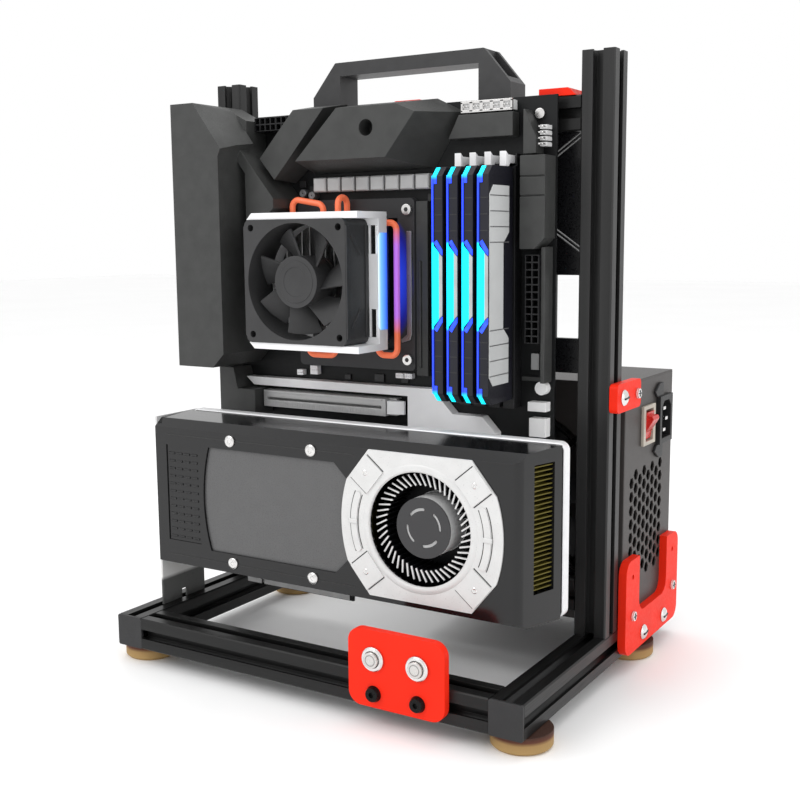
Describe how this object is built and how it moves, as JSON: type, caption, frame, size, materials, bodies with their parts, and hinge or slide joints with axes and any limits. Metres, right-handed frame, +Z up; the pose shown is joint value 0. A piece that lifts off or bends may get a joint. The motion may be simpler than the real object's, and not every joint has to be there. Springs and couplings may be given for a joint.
{
  "type": "open air test bench",
  "caption": "Open bench frame of slotted profile that holds a computer board, cooler, graphics card and power supply, with red plates, front buttons and a carry handle.",
  "frame": {"origin": "on the floor under the middle of the bounding box", "axes": "+X to the right of a person who faces the front, +Y to the back, +Z up"},
  "size_m": [0.3007, 0.2384, 0.377],
  "materials": {
    "profile": "satin black anodised",
    "cap": "matte",
    "foot": "matte",
    "red_plate": "satin",
    "black_steel": "satin",
    "silver_steel": "satin",
    "handle": "satin",
    "panel": "gloss",
    "psu_metal": "satin",
    "black_plastic": "matte",
    "fan_plastic": "satin",
    "switch_plastic": "satin",
    "red_plastic": "gloss",
    "circuit_board": "satin",
    "cover_dark": "satin",
    "port_metal": "satin",
    "choke_grey": "satin",
    "white_plastic": "satin",
    "slot_metal": "satin",
    "light_bar": "glowing",
    "spreader": "satin",
    "sink_metal": "satin",
    "copper_pipe": "satin",
    "card_dark": "satin",
    "card_pane": "satin",
    "card_white": "satin",
    "bracket_steel": "satin"
  },
  "bodies": {
    "bench": {"base_side_rails": "profile", "base_cross_rails": "profile", "upright_left": "profile", "upright_right": "profile", "crossbars": "profile", "rail_end_caps": "cap", "feet": "foot", "button_plate": "red_plate", "black_bolts": "black_steel", "button_bodies": "silver_steel", "psu_plate_upper": "red_plate", "psu_plate_lower": "red_plate", "plate_bolts": "silver_steel", "carry_handle": "handle", "crossbar_clips": "red_plate", "back_panel": "panel", "standoffs": "silver_steel", "small_screws": "silver_steel", "psu_case": "psu_metal", "psu_cover": "psu_metal", "psu_fan_grille": "black_steel", "psu_fan_frame": "black_plastic", "psu_inlet": "black_plastic", "psu_switch_frame": "switch_plastic", "mainboard": "circuit_board", "io_shroud": "cover_dark", "io_ports": "port_metal", "vrm_cover": "cover_dark", "chokes": "choke_grey", "cpu_bracket": "black_plastic", "board_covers": "cover_dark", "power_sockets": "black_plastic", "board_headers": "white_plastic", "white_cover": "white_plastic", "pcie_slot": "slot_metal", "memory_slots": "black_plastic", "memory_modules": "spreader", "memory_light_bars": "light_bar", "cooler_heatsink": "sink_metal", "cooler_housing": "white_plastic", "cooler_fan_frame": "fan_plastic", "cooler_pipes": "copper_pipe", "card_shroud": "card_dark", "card_window": "card_pane", "card_ring": "card_white", "card_heatsink": "sink_metal", "card_board": "circuit_board", "card_bracket": "bracket_steel", "card_backplate": "card_white"},
    "power_button": {"power_button": "silver_steel"},
    "reset_button": {"reset_button": "silver_steel"},
    "psu_rocker": {"psu_rocker": "red_plastic"},
    "psu_fan_rotor": {"psu_fan_rotor": "fan_plastic"},
    "cooler_fan_rotor": {"cooler_fan_rotor": "fan_plastic"},
    "card_blower": {"card_blower": "black_plastic"},
    "pcie_latch": {"pcie_latch": "white_plastic"},
    "memory_latch_1": {"memory_latch_1": "white_plastic"},
    "memory_latch_2": {"memory_latch_2": "white_plastic"},
    "memory_latch_3": {"memory_latch_3": "white_plastic"},
    "memory_latch_4": {"memory_latch_4": "white_plastic"}
  },
  "joints": [
    {"name": "power_button_press", "type": "slide", "parent": "bench", "child": "power_button", "axis": [0, 1, 0], "range_m": [0, 0.0015], "stiffness_N_per_m": 400},
    {"name": "reset_button_press", "type": "slide", "parent": "bench", "child": "reset_button", "axis": [0, 1, 0], "range_m": [0, 0.0015], "stiffness_N_per_m": 400},
    {"name": "psu_rocker_tilt", "type": "hinge", "parent": "bench", "child": "psu_rocker", "pos_m": [0.14062, 0.06625, 0.15], "axis": [0, -1, 0], "range_deg": [0, 16]},
    {"name": "psu_fan_spin", "type": "hinge", "parent": "bench", "child": "psu_fan_rotor", "pos_m": [0.07262, 0.03925, 0.105], "axis": [0, 1, 0], "continuous": true},
    {"name": "cooler_fan_spin", "type": "hinge", "parent": "bench", "child": "cooler_fan_rotor", "pos_m": [-0.03458, -0.05075, 0.241], "axis": [0, 1, 0], "continuous": true},
    {"name": "card_blower_spin", "type": "hinge", "parent": "bench", "child": "card_blower", "pos_m": [0.06623, -0.07075, 0.1065], "axis": [0, 1, 0], "continuous": true},
    {"name": "pcie_latch_turn", "type": "hinge", "parent": "bench", "child": "pcie_latch", "pos_m": [0.00462, -0.00975, 0.1615], "axis": [0, 0, 1], "range_deg": [0, 18], "stiffness_Nm_per_rad": 0.02},
    {"name": "memory_latch_1_open", "type": "hinge", "parent": "bench", "child": "memory_latch_1", "pos_m": [0.05792, -0.01025, 0.3107], "axis": [-1, 0, 0], "range_deg": [0, 35]},
    {"name": "memory_latch_2_open", "type": "hinge", "parent": "bench", "child": "memory_latch_2", "pos_m": [0.06757, -0.01025, 0.3107], "axis": [-1, 0, 0], "range_deg": [0, 35]},
    {"name": "memory_latch_3_open", "type": "hinge", "parent": "bench", "child": "memory_latch_3", "pos_m": [0.07723, -0.01025, 0.3107], "axis": [-1, 0, 0], "range_deg": [0, 35]},
    {"name": "memory_latch_4_open", "type": "hinge", "parent": "bench", "child": "memory_latch_4", "pos_m": [0.08687, -0.01025, 0.3107], "axis": [-1, 0, 0], "range_deg": [0, 35]}
  ]
}
